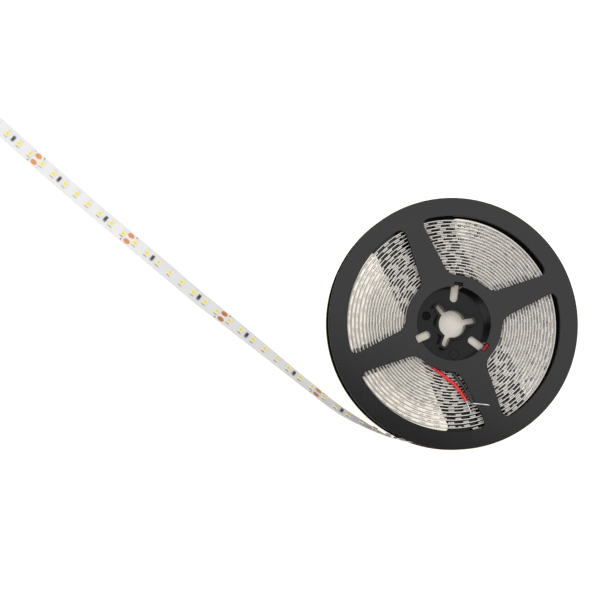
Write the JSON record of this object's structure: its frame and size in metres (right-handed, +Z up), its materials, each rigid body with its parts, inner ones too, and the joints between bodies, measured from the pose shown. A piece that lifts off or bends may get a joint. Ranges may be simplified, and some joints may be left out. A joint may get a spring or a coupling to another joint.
{
  "type": "led strip light reel",
  "caption": "Flat plastic reel with windowed flanges, wound with white LED strip light; the free end runs out flat and two supply wires leave the hub.",
  "frame": {"origin": "on the floor under the middle of the whole, reel and run-out strip", "axes": "+X from the strip's free end towards the reel, as in the picture; +Z up along the reel's axis, out of its open front"},
  "size_m": [0.3288, 0.1932, 0.014],
  "materials": {
    "reel_plastic": "fine texture",
    "strip_base": "satin white coating",
    "led_body": "white body, yellow phosphor",
    "resistor_body": "matt",
    "red_insulation": "satin",
    "black_insulation": "satin",
    "tinned_metal": "dull tin"
  },
  "bodies": {
    "root": {"reel_back_half": "reel_plastic", "reel_front_half": "reel_plastic", "led_strip": "strip_base", "led_01": "led_body", "led_02": "led_body", "led_03": "led_body", "led_04": "led_body", "led_05": "led_body", "led_06": "led_body", "led_07": "led_body", "led_08": "led_body", "led_09": "led_body", "led_10": "led_body", "led_11": "led_body", "led_12": "led_body", "led_13": "led_body", "led_14": "led_body", "led_15": "led_body", "led_16": "led_body", "led_17": "led_body", "led_18": "led_body", "led_19": "led_body", "led_20": "led_body", "led_21": "led_body", "led_22": "led_body", "led_23": "led_body", "led_24": "led_body", "led_25": "led_body", "led_26": "led_body", "led_27": "led_body", "led_28": "led_body", "led_29": "led_body", "led_30": "led_body", "led_31": "led_body", "led_32": "led_body", "led_33": "led_body", "led_34": "led_body", "led_35": "led_body", "led_36": "led_body", "led_37": "led_body", "led_38": "led_body", "resistor_01": "resistor_body", "resistor_02": "resistor_body", "resistor_03": "resistor_body", "resistor_04": "resistor_body", "resistor_05": "resistor_body", "resistor_06": "resistor_body", "resistor_07": "resistor_body", "resistor_08": "resistor_body", "resistor_09": "resistor_body", "resistor_10": "resistor_body", "red_wire": "red_insulation", "red_wire_tip": "tinned_metal", "red_solder_joint": "tinned_metal", "black_wire": "black_insulation", "black_wire_tip": "tinned_metal", "black_solder_joint": "tinned_metal"}
  },
  "joints": []
}
